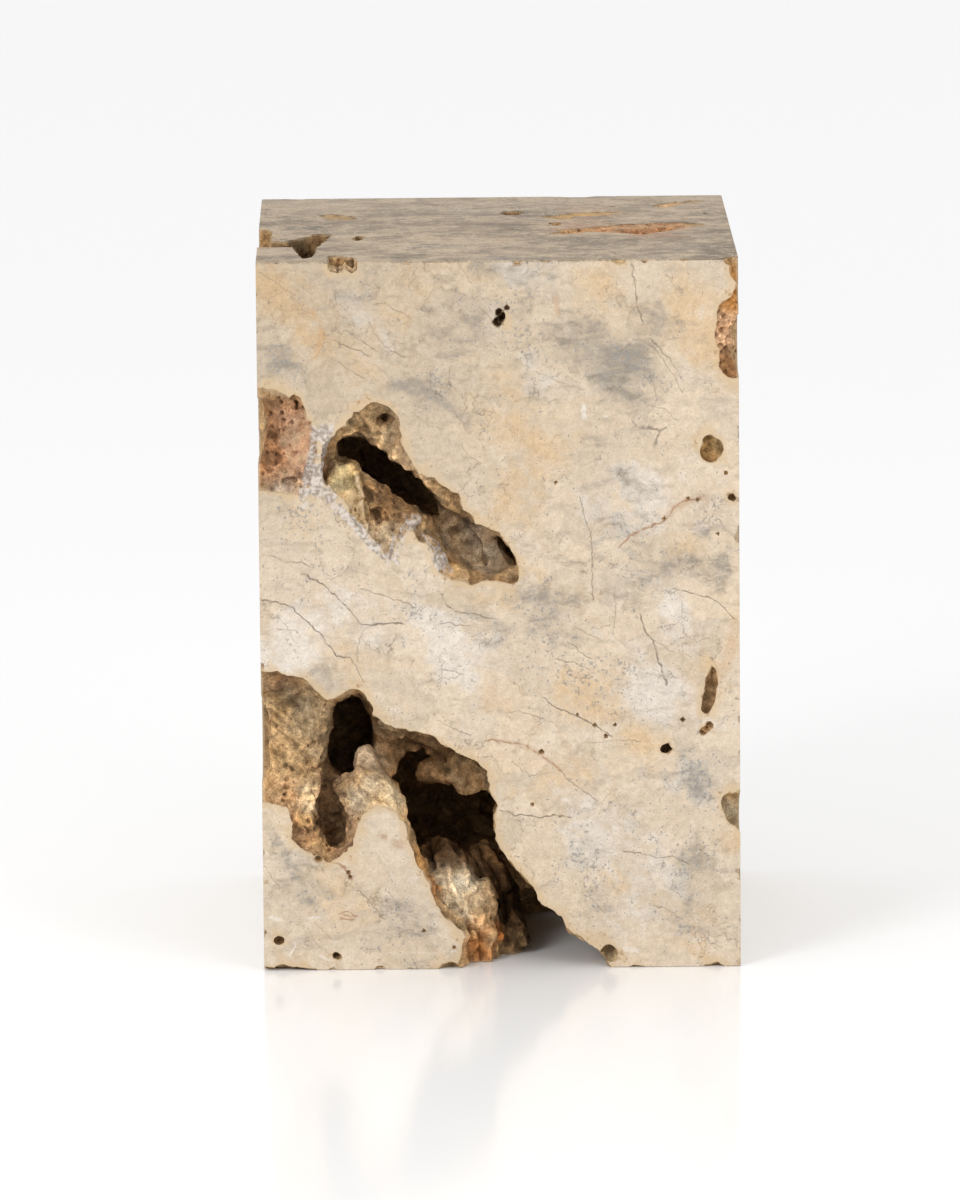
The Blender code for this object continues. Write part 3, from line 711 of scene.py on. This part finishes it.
whole = node("ShaderNodeTexCoord").outputs["Object"]
mm_place = grown(whole, MM)
axes = node("ShaderNodeSeparateXYZ", {}, {0: mm_place}).outputs
gap_x = maths("SUBTRACT", HALF[0], maths("ABSOLUTE", axes[0]))
gap_y = maths("SUBTRACT", HALF[1], maths("ABSOLUTE", axes[1]))
gap_top = maths("SUBTRACT", 2 * HALF[2], axes[2])
gap_z = maths("MINIMUM", axes[2], gap_top)
cut_gap = maths("MINIMUM", maths("MINIMUM", gap_x, gap_y), gap_z)
rough_wall = between(cut_gap, 0.15, 0.6)

big_sway = vectors("SUBTRACT", cloudy(mm_place, 20, 1, output="Color"), (0.5, 0.5, 0.5))
small_sway = vectors("SUBTRACT", cloudy(mm_place, 4.5, 1, output="Color"), (0.5, 0.5, 0.5))
swaying = vectors("ADD", mm_place, vectors("MULTIPLY", big_sway, (9, 9, 9)))
swaying = vectors("ADD", swaying, vectors("MULTIPLY", small_sway, (2.6, 2.6, 2.6)))

clouds_told = node("ShaderNodeAttribute", {"attribute_name": "clouds"})
told = node("ShaderNodeSeparateColor", {}, {0: clouds_told.outputs["Color"]}).outputs
edging = maths("SUBTRACT", cloudy(swaying, 16, 6, 0.64), 0.5)
mottle = cloudy(mm_place, 4.2, 3, 0.65)
grain = cloudy(mm_place, 1.3, 2, 0.7)


def patch(amount, low, high, gain=2.6):
    """A cloud with a billowing edge, where the told amount is high."""
    return between(maths("ADD", amount, times(edging, gain)), low, high)


# The honed stone: cream clasts grown together, each of its own tone, with darker seams
clast_place = vectors("ADD", mm_place, vectors("MULTIPLY", big_sway, (26, 26, 26)))
clast_place = grown(vectors("ADD", clast_place, vectors("MULTIPLY", small_sway, (10, 10, 10))), 27)
clasts = node("ShaderNodeTexVoronoi", {"feature": "F1"}, {"Vector": clast_place, "Scale": 1})
tone = node("ShaderNodeSeparateColor", {}, {0: clasts.outputs["Color"]}).outputs
face = tint(tone[0], colour(231, 211, 184), colour(213, 195, 171))
face = tint(times(tone[1], 0.5), face, colour(229, 215, 198))
net = node(
    "ShaderNodeTexVoronoi",
    {"feature": "DISTANCE_TO_EDGE"},
    {"Vector": clast_place, "Scale": 1},
).outputs["Distance"]
seam = times(between(net, 0.11, 0.0), between(edging, -0.12, 0.12))
face = tint(times(seam, 0.34), face, colour(190, 171, 146))

# Tan, pale and grey clouds, and wisps drawn out along the bedding
face = tint(times(patch(told[1], 0.2, 1.15), 0.85), face, colour(226, 196, 156))
face = tint(times(patch(told[2], 0.25, 0.95), 0.85), face, colour(234, 225, 214))
bedding = node("ShaderNodeMapping", {}, {0: swaying, 2: (0, math.radians(38), 0), 3: (0.3, 0.7, 1)})
wisp = cloudy(bedding.outputs[0], 7, 5, 0.66)
wisps = times(between(wisp, 0.50, 0.68), plus(0.45, told[0]))
face = tint(times(wisps, 0.6), face, colour(172, 160, 145))
greyness = times(patch(told[0], 0.25, 1.3), plus(0.45, times(between(wisp, 0.36, 0.62), 0.55)))
face = tint(times(greyness, 0.85), face, colour(160, 150, 136))
dapple = tint(between(mottle, 0.34, 0.66), colour(222, 216, 208, 1), colour(255, 254, 252, 1.1))
face = tint(0.35, face, dapple, "MULTIPLY")
gritty = tint(between(grain, 0.25, 0.75), colour(205, 199, 192, 1), colour(255, 255, 255, 1.18))
face = tint(0.28, face, gritty, "MULTIPLY")
upper_left = times(between(axes[2], 200, 430), between(axes[0], 230, -150))
face = tint(upper_left, face, colour(232, 230, 226, 1), "MULTIPLY")

# Blue-grey specks, thickest where they are told, and a few everywhere
speck = cloudy(mm_place, 2.1, 2, 0.6)
crowd = plus(speck, times(clouds_told.outputs["Alpha"], 0.10), times(edging, 0.22))
specks = between(crowd, 0.665, 0.715)
face = tint(times(specks, 0.6), face, colour(126, 123, 120))
haze = between(crowd, 0.52, 0.70)
face = tint(times(haze, clouds_told.outputs["Alpha"], 0.30), face, colour(166, 162, 156))

# Hairline cracks: half width and darkness of each, and its course in mm along x and up
CRACKS_ALONG = [
    (0.30, 0.5, [(-150, 451), (-143, 447), (-136, 441), (-132, 439)]),
    (0.34, 0.9, [(-103, 407), (-95, 403), (-87, 400), (-82, 397)]),
    (0.30, 0.7, [(-96, 414), (-90, 409), (-84, 405), (-78, 401)]),
    (0.36, 0.6, [(-105, 396), (-99, 392), (-92, 387), (-86, 383)]),
    (0.30, 0.8, [(-81, 418), (-78, 412), (-74, 406), (-70, 402)]),
    (0.30, 0.7, [(-68, 401), (-63, 398), (-59, 396)]),
    (0.30, 0.7, [(-66, 427), (-60, 425), (-56, 421)]),
    (0.30, 0.5, [(-78, 430), (-71, 431), (-66, 427)]),
    (0.34, 0.7, [(-29, 362), (-24, 356), (-21, 349)]),
    (0.30, 0.6, [(-11, 428), (-6, 423), (-2, 418)]),
    (0.36, 0.5, [(-24, 456), (-21, 450), (-16, 443)]),
    (0.30, 0.4, [(-78, 392), (-71, 386), (-65, 378)]),
    (0.44, 0.8, [(96, 407), (103, 399), (109, 393), (114, 386), (116, 380)]),
    (0.36, 0.7, [(98, 402), (104, 393), (111, 383), (116, 373)]),
    (0.36, 0.7, [(108, 447), (112, 439), (114, 433)]),
    (0.30, 0.4, [(24, 386), (36, 381), (47, 376)]),
    (0.60, 0.8, [(90, 349), (96, 350), (102, 347), (106, 349)]),
    (0.30, 0.5, [(96, 364), (106, 361), (113, 354)]),
    (0.34, 0.7, [(139, 291), (143, 285), (149, 278)]),
    (0.36, 0.9, [(111, 246), (121, 243), (134, 240), (142, 234), (149, 226)]),
    (0.30, 0.6, [(97, 213), (105, 208), (110, 205)]),
    (0.30, 0.7, [(48, 222), (56, 217), (64, 213)]),
    (0.30, 0.8, [(44, 212), (49, 207), (58, 201)]),
    (0.30, 0.8, [(36, 201), (46, 199), (53, 195)]),
    (0.30, 0.7, [(44, 191), (51, 188), (56, 191)]),
    (0.42, 1.0, [(28, 176), (33, 171), (44, 166), (51, 163), (60, 158), (70, 151)]),
    (0.30, 0.6, [(4, 167), (11, 168), (19, 165), (27, 163)]),
    (0.40, 0.7, [(38, 129), (42, 123), (52, 116), (61, 109)]),
    (0.30, 0.5, [(57, 146), (70, 148), (89, 148)]),
    (0.30, 0.6, [(9, 134), (15, 128), (18, 125), (25, 128)]),
    (0.38, 1.0, [(-1, 104), (9, 100), (17, 100), (25, 98), (33, 100), (44, 98)]),
    (0.30, 0.6, [(-39, 162), (-31, 157), (-20, 152)]),
    (0.32, 0.5, [(35, 263), (45, 264), (54, 263)]),
    (0.34, 0.7, [(-145, 270), (-140, 268), (-134, 265), (-125, 265), (-120, 262)]),
    (0.46, 1.0, [(-125, 258), (-112, 251), (-101, 240), (-91, 229), (-88, 224), (-70, 225), (-62, 225)]),
    (0.46, 1.0, [(-152, 241), (-134, 238), (-125, 229), (-114, 219), (-104, 204), (-95, 203), (-87, 188)]),
    (0.30, 0.7, [(-147, 231), (-140, 229), (-135, 223), (-132, 215)]),
    (0.30, 0.6, [(-142, 223), (-137, 222), (-129, 221)]),
    (0.32, 0.7, [(-87, 248), (-72, 242), (-58, 238), (-54, 235)]),
    (0.38, 0.8, [(-37, 244), (-34, 237), (-28, 232), (-18, 231), (-3, 227)]),
    (0.34, 0.7, [(-39, 224), (-32, 225), (-26, 224), (-20, 223)]),
    (0.30, 0.6, [(-38, 195), (-30, 194), (-24, 191)]),
    (0.34, 0.8, [(78, 76), (86, 75), (101, 71), (109, 72), (119, 67)]),
    (0.30, 0.6, [(95, 40), (103, 39), (109, 35), (115, 31)]),
    (0.30, 0.7, [(125, 31), (128, 23), (133, 16), (139, 13)]),
    (0.34, 0.6, [(51, 56), (54, 50), (59, 43), (65, 36)]),
    (0.36, 0.7, [(-151, 68), (-148, 62), (-143, 55)]),
    (0.44, 0.8, [(-92, 52), (-86, 47), (-81, 40), (-76, 33)]),
    (0.30, 0.6, [(-119, 31), (-113, 24), (-111, 21)]),
    (0.30, 0.5, [(-124, 28), (-120, 19), (-111, 10)]),
]
CRACKS_UP = [
    (0.32, 0.8, [(59, 239), (59, 268), (58, 283), (54, 294), (51, 305)]),
    (0.34, 0.8, [(92, 417), (89, 426), (87, 439), (85, 454)]),
    (0.60, 0.8, [(99, 338), (102, 347)]),
    (0.30, 0.5, [(100, 370), (98, 377), (96, 386)]),
    (0.50, 0.9, [(106, 184), (103, 193), (100, 203), (97, 213), (92, 219), (89, 229)]),
    (0.30, 0.5, [(72, 221), (74, 232), (73, 245)]),
    (0.30, 0.6, [(-91, 203), (-90, 213), (-87, 220)]),
]
RUST_VEINS = [
    (0.7, 0.9, [(77, 273), (83, 280), (96, 286), (105, 290), (110, 296), (116, 302), (128, 304)]),
    (0.6, 0.9, [(-8, 149), (3, 148), (14, 146), (23, 140), (30, 136), (38, 129)]),
    (1.6, 0.35, [(10, 147), (20, 142), (30, 136), (36, 131)]),
    (0.6, 0.9, [(-112, 71), (-104, 69), (-100, 67), (-96, 60)]),
    (1.4, 0.7, [(-78, 88), (-74, 86)]),
    (2.4, 0.5, [(-69, 83), (-63, 81)]),
    (0.5, 0.8, [(-104, 37), (-99, 38.5), (-94, 36)]),
    (0.5, 0.8, [(-103, 34), (-98, 33), (-95, 34)]),
    (0.4, 0.7, [(-101, 36), (-97, 35)]),
    (2.2, 0.4, [(104, 290), (112, 298), (124, 304), (132, 303)]),
]
GREY_STREAKS = [
    (3.0, 0.5, [(-65, 378), (-49, 375), (-37, 369), (-29, 362), (-18, 352)]),
    (2.6, 0.8, [(49, 408), (58, 398), (65, 388)]),
    (2.4, 0.6, [(-22, 233), (-6, 228), (11, 221), (25, 218)]),
    (3.0, 0.4, [(-120, 196), (-112, 190), (-104, 182)]),
]
GREY_STREAKS_UP = [
    (2.0, 0.8, [(49, 408), (43, 419), (38, 429), (36, 436)]),
    (2.6, 0.8, [(63, 372), (68, 380), (65, 388)]),
    (2.2, 0.8, [(99, 409), (103, 415), (104, 423), (101, 431)]),
    (2.6, 0.5, [(-131, 59), (-135, 70), (-140, 80), (-147, 90)]),
]
TAN_ARCS = [
    (1.8, 0.8, [(-116, 396), (-111, 409), (-112, 417), (-117, 426)]),
    (3.6, 0.5, [(-8, 168), (-7, 181), (-4, 192)]),
    (1.4, 0.8, [(38, 423), (37, 434)]),
    (3.0, 0.5, [(144, 196), (148, 214), (152, 226)]),
]
WIDE, TALL = 2 * HALF[0], 2 * HALF[2]
STOPS = 32


def rows_of(lines):
    """The lines in rows, none over another in its row, each row fit for one ramp."""
    rows = []
    for line in sorted(lines, key=lambda told: told[2][0][0]):
        for row in rows:
            used = sum(len(each[2]) + 2 for each in row)
            if row[-1][2][-1][0] + 5 < line[2][0][0] and used + len(line[2]) + 2 <= STOPS:
                row.append(line)
                break
        else:
            rows.append([line])
    return rows


def row_of_strokes(row, along, across, length, height, softness):
    """How dark a place is with the lines of a row. One ramp holds the lines' course in red,
    their half width in green, in tenths, and their darkness in blue."""
    ramp = node("ShaderNodeValToRGB", {}, {0: maths("DIVIDE", along, length)})
    stops = []
    for half_width, dark, course in row:
        (first, start), (last, end) = course[0], course[-1]
        stops.append((first - 2, start, half_width, 0))
        stops += [(a, c, half_width, dark) for a, c in course]
        stops.append((last + 2, end, half_width, 0))
    ramp.color_ramp.interpolation = "LINEAR"
    while len(ramp.color_ramp.elements) > 1:
        ramp.color_ramp.elements.remove(ramp.color_ramp.elements[0])
    for index, (a, c, half_width, dark) in enumerate(stops):
        spot = min(1, max(0, a / length))
        stop = ramp.color_ramp.elements[0] if index == 0 else ramp.color_ramp.elements.new(spot)
        stop.position = spot
        stop.color = (c / height, half_width / 10, dark, 1)
    course, tenth, dark = node("ShaderNodeSeparateColor", {}, {0: ramp.outputs[0]}).outputs
    off = maths("ABSOLUTE", maths("SUBTRACT", maths("DIVIDE", across, height), course))
    off = maths("DIVIDE", times(off, height / 10), tenth)
    return times(between(off, 1 + softness, 1 - 0.5 * softness), dark)


# The lines lie in sheets that lean as they go back through the stone
into_stone = maths("ADD", axes[1], HALF[1])
lean = node("ShaderNodeCombineXYZ", {}, {0: times(into_stone, 0.35), 1: 0, 2: times(into_stone, -0.24)})
line_sway = vectors("MULTIPLY", small_sway, (3.4, 3.4, 3.4))
line_place = vectors("ADD", vectors("ADD", mm_place, lean.outputs[0]), line_sway)
line_axes = node("ShaderNodeSeparateXYZ", {}, {0: line_place}).outputs
line_x = maths("ADD", line_axes[0], HALF[0])


def strokes(lines, upward=False, softness=1.0):
    """Lines on the front, carried through the stone. Upward lines run mostly up, others along."""
    found = None
    moved = [
        (wide, dark, [(c, a + HALF[0]) if upward else (a + HALF[0], c) for a, c in course])
        for wide, dark, course in lines
    ]
    if upward:
        moved = [(wide, dark, sorted(course)) for wide, dark, course in moved]
    for row in rows_of(moved):
        if upward:
            near = row_of_strokes(row, line_axes[2], line_x, TALL, WIDE, softness)
        else:
            near = row_of_strokes(row, line_x, line_axes[2], WIDE, TALL, softness)
        found = near if found is None else maths("MAXIMUM", found, near)
    return found


streaks = maths("MAXIMUM", strokes(GREY_STREAKS), strokes(GREY_STREAKS_UP, upward=True))
streaks = times(streaks, between(edging, -0.2, 0.12))
face = tint(times(streaks, 0.6), face, colour(150, 145, 139))
arcs = times(strokes(TAN_ARCS, upward=True), between(edging, -0.25, 0.1))
face = tint(times(arcs, 0.6), face, colour(204, 160, 112))
cracks = maths("MAXIMUM", strokes(CRACKS_ALONG), strokes(CRACKS_UP, upward=True))
break_up = between(mottle, 0.30, 0.52)
cracks = times(cracks, plus(times(break_up, 0.7), 0.3))
net_line = times(between(net, 0.022, 0.006), between(edging, -0.02, 0.12), break_up)
cracks = maths("MAXIMUM", cracks, times(net_line, 0.6))
face = tint(times(cracks, 0.8), face, colour(112, 98, 84))
rust = times(strokes(RUST_VEINS), between(mottle, 0.3, 0.5))
face = tint(times(rust, 0.75), face, colour(156, 106, 66))

# Bright crystals and bruises, and the scratch along the foot
MARKS_ALONG = [
    (0.7, 0.9, [(-149, 35), (-146, 35.5)]),
    (0.9, 0.9, [(-145, 34), (-142, 33)]),
    (0.8, 0.8, [(-123, 34), (-118, 35)]),
    (0.9, 0.8, [(-116, 10), (-111, 7)]),
    (0.22, 0.55, [(-72, 11), (-50, 10.6), (-34, 11)]),
    (0.8, 0.8, [(-34, 11), (-31, 12)]),
    (0.8, 0.9, [(67, 357), (68.5, 357)]),
    (1.5, 0.7, [(78, 12), (86, 11)]),
    (0.9, 0.8, [(40, 110), (43, 109)]),
]
MARKS_UP = [
    (1.1, 1.0, [(54.5, 357), (54, 364)]),
    (0.6, 0.9, [(-136, 10), (-133, 16)]),
]
white = maths("MAXIMUM", strokes(MARKS_ALONG, softness=0.4), strokes(MARKS_UP, True, 0.4))
white = times(white, between(axes[1], -150, -151.5), between(mottle, 0.28, 0.42))
face = tint(times(white, 0.5), face, colour(244, 240, 234))

# A tan, crumbling margin round the mouths of the vugs
by_rock = node("ShaderNodeAttribute", {"attribute_name": "by_rock"}).outputs["Fac"]
margin = between(plus(by_rock, times(edging, 1.6)), 0.30, 0.85)
face = tint(times(margin, 0.7), face, colour(212, 184, 144))
face = tint(times(margin, between(mottle, 0.58, 0.68), 0.7), face, colour(160, 122, 84))

# The top is greyer and darker than the front, partly its own tone and partly painted shade for the light
# that comes from the front; it is drawn out in streaks, with small tan flecks
on_top = between(gap_top, 1.2, 0.4)
drawn_out = vectors("MULTIPLY", swaying, (0.5, 0.7, 1))
streaky = cloudy(drawn_out, 26, 8, 0.72)
top = tint(between(streaky, 0.38, 0.60), colour(126, 110, 90), colour(200, 178, 150))
top = tint(times(between(axes[1], 0, 150), 0.5), top, colour(190, 172, 150))
top = tint(times(patch(told[0], 0.3, 1.1), 0.7), top, colour(138, 132, 124))
top = tint(times(patch(told[1], 0.35, 1.2), 0.8), top, colour(184, 146, 116))
band = cloudy(drawn_out, 15, 6, 0.66)
pale_vein = between(maths("ABSOLUTE", maths("SUBTRACT", band, 0.53)), 0.020, 0.006)
dark_vein = between(maths("ABSOLUTE", maths("SUBTRACT", band, 0.45)), 0.018, 0.005)
top = tint(times(pale_vein, 0.6), top, colour(216, 198, 168))
top = tint(times(dark_vein, 0.5), top, colour(98, 84, 68))
flecks = between(plus(streaky, times(told[1], 0.05)), 0.62, 0.68)
top = tint(times(flecks, 0.7), top, colour(214, 188, 146))
top = tint(0.7, top, gritty, "MULTIPLY")
top = tint(times(cracks, 0.6), top, colour(96, 86, 74))
face = tint(times(on_top, 0.92), face, top)

# The walls: their own colour, darkened in the hollows as dirt and painted shade, and lightened on the
# crests as a painted highlight
wall_face = node("ShaderNodeAttribute", {"attribute_name": "wall"}).outputs["Color"]
fine = node("ShaderNodeAttribute", {"attribute_name": "hollow_fine"}).outputs["Fac"]
wide = node("ShaderNodeAttribute", {"attribute_name": "hollow_wide"}).outputs["Fac"]
wall_dapple = tint(between(mottle, 0.32, 0.68), colour(204, 196, 188, 1), colour(255, 253, 250, 1.2))
wall_face = tint(0.7, wall_face, wall_dapple, "MULTIPLY")
coarse_grit = tint(between(grain, 0.3, 0.7), colour(206, 200, 194, 1), colour(255, 254, 252, 1.16))
wall_face = tint(0.85, wall_face, coarse_grit, "MULTIPLY")
dirt_and_shade = tint(0.6, wall_face, colour(132, 104, 82), "MULTIPLY")
# Darker in the fine hollows and the broad recesses: partly dirt, partly painted shade
wall_face = tint(times(between(fine, 0.06, 0.6), 0.65), wall_face, dirt_and_shade)
wall_face = tint(times(between(wide, 0.6, 2.4), 0.35), wall_face, dirt_and_shade)
# Lighter on the crests of the rock: a painted highlight
crest_highlight = tint(1.0, wall_face, colour(255, 252, 248, 1.6), "MULTIPLY")
wall_face = tint(times(between(fine, -0.08, -0.5), 0.6), wall_face, crest_highlight)
pores = node(
    "ShaderNodeTexVoronoi",
    {"feature": "F1"},
    {"Vector": grown(mm_place, 2.4), "Scale": 1, "Randomness": 1},
).outputs["Distance"]
pit = between(pores, 0.28, 0.12)
# Darker spots in the pores: partly dirt, partly painted shade
wall_face = tint(times(pit, between(edging, -0.15, 0.1), 0.55), wall_face, dirt_and_shade)
fresh = times(between(cut_gap, 2.2, 0.4), between(fine, 0.4, 0.1))
wall_face = tint(times(fresh, 0.6), wall_face, face)

# Clear calcite grown between the red patch and the middle vug, and along the ledge's rim
CALCITE_UP = [
    (6.5, 1.0, [(-118, 308), (-116, 322), (-112, 340), (-111, 352)]),
    (3.4, 1.0, [(-122, 300), (-124, 312)]),
    (4.2, 1.0, [(-67, 264), (-80, 275), (-88, 286), (-101, 298), (-110, 312)]),
    (3.4, 1.0, [(-66, 268), (-63, 281), (-55, 290)]),
    (5.0, 1.0, [(-34, 258), (-38, 268), (-42, 280)]),
    (4.0, 0.9, [(-56, 286), (-50, 292)]),
]
calcite = strokes(CALCITE_UP, upward=True, softness=0.25)
calcite = times(calcite, between(axes[1], -136, -146), between(plus(edging, mottle), 0.34, 0.50))
crystal = cloudy(vectors("MULTIPLY", mm_place, (1.0, 0.5, 1.0)), 2.7, 3, 0.5)
crystals = tint(between(crystal, 0.38, 0.60), colour(158, 146, 135), colour(218, 207, 197))
skin_colour = tint(rough_wall, face, wall_face)
skin_colour = tint(times(calcite, 0.9), skin_colour, crystals)

# The relief too fine for the mesh
crumbs = plus(cloudy(mm_place, 2.2, 4, 0.75), times(pit, -0.25))
height = node("ShaderNodeMix", {"data_type": "FLOAT"}, {0: rough_wall, 2: times(grain, 0.045), 3: crumbs})
bump = node("ShaderNodeBump", {}, {"Strength": 1, "Distance": 1.25 * MM, "Height": height.outputs[0]})
shader = node(
    "ShaderNodeBsdfPrincipled",
    {},
    {
        "Base Color": skin_colour,
        "Roughness": plus(times(rough_wall, 0.34), 0.58),
        "Specular IOR Level": plus(times(rough_wall, -0.2), 0.3),
        "Normal": bump.outputs[0],
    },
)
node("ShaderNodeOutputMaterial", {}, {"Surface": shader.outputs[0]})
chunk.data.materials.clear()
chunk.data.materials.append(stone)
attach(chunk, "root")
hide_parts("travertine_chunk")


# The floor: a pale, faintly glossy studio floor, wide enough to have no edge in sight.

floor_sheet = bmesh.new()
bmesh.ops.create_grid(floor_sheet, x_segments=1, y_segments=1, size=30)
floor_mesh = bpy.data.meshes.new("studio_floor")
floor_sheet.to_mesh(floor_mesh)
floor_sheet.free()
floor = bpy.data.objects.new("studio_floor", floor_mesh)
bpy.context.scene.collection.objects.link(floor)
floor_paint = bpy.data.materials.new("pale floor")
floor_paint.use_nodes = True
floor_surface = floor_paint.node_tree.nodes["Principled BSDF"]
floor_surface.inputs["Base Color"].default_value = (0.93, 0.93, 0.93, 1)
floor_surface.inputs["Roughness"].default_value = 0.14
floor_surface.inputs["Specular IOR Level"].default_value = 0.3
floor_mesh.materials.append(floor_paint)


# The studio: an even white surround, and two soft boxes in front of the block, above it and
# to either side, so that the front is bright, the top darker and the shadows faint.

surround = bpy.data.worlds.new("studio surround")
surround.use_nodes = True
surround.node_tree.nodes["Background"].inputs["Color"].default_value = (0.955, 0.955, 0.955, 1)
surround.node_tree.nodes["Background"].inputs["Strength"].default_value = 1.0
bpy.context.scene.world = surround


def soft_box(name, place, aim, width, height, power):
    lamp = bpy.data.lights.new(name, "AREA")
    lamp.shape = "RECTANGLE"
    lamp.size = width
    lamp.size_y = height
    lamp.energy = power
    box = bpy.data.objects.new(name, lamp)
    box.matrix_world = Matrix.Translation(place) @ (
        (Vector(aim) - Vector(place)).to_track_quat("-Z", "Y").to_matrix().to_4x4()
    )
    bpy.context.scene.collection.objects.link(box)


soft_box("left_box", (-1.7, -2.4, 1.7), (0, 0, 0.2), 1.1, 1.1, 42)
soft_box("right_box", (2.0, -2.5, 1.5), (0, 0, 0.2), 1.3, 1.3, 20)

bpy.context.scene.view_settings.view_transform = "Standard"
bpy.context.scene.view_settings.look = "None"


# The camera: where the photograph was taken from, a long lens 6 m in front of the block and
# a little above it.

PITCH, YAW, ROLL = (math.radians(angle) for angle in (10.07, 0.49, -0.47))
ahead = Vector((math.sin(YAW) * math.cos(PITCH), math.cos(YAW) * math.cos(PITCH), -math.sin(PITCH)))
level = Vector((math.cos(YAW), -math.sin(YAW), 0))
upright = level.cross(ahead)
rightward = math.cos(ROLL) * level + math.sin(ROLL) * upright
upward = -math.sin(ROLL) * level + math.cos(ROLL) * upright
lens = bpy.data.cameras.new("camera")
lens.lens = 277.4
lens.sensor_width = 36
camera = bpy.data.objects.new("camera", lens)
camera.matrix_world = Matrix.Translation((-0.062, -5.937, 1.267)) @ (
    Matrix((rightward, upward, -ahead)).transposed().to_4x4()
)
bpy.context.scene.collection.objects.link(camera)
bpy.context.scene.camera = camera
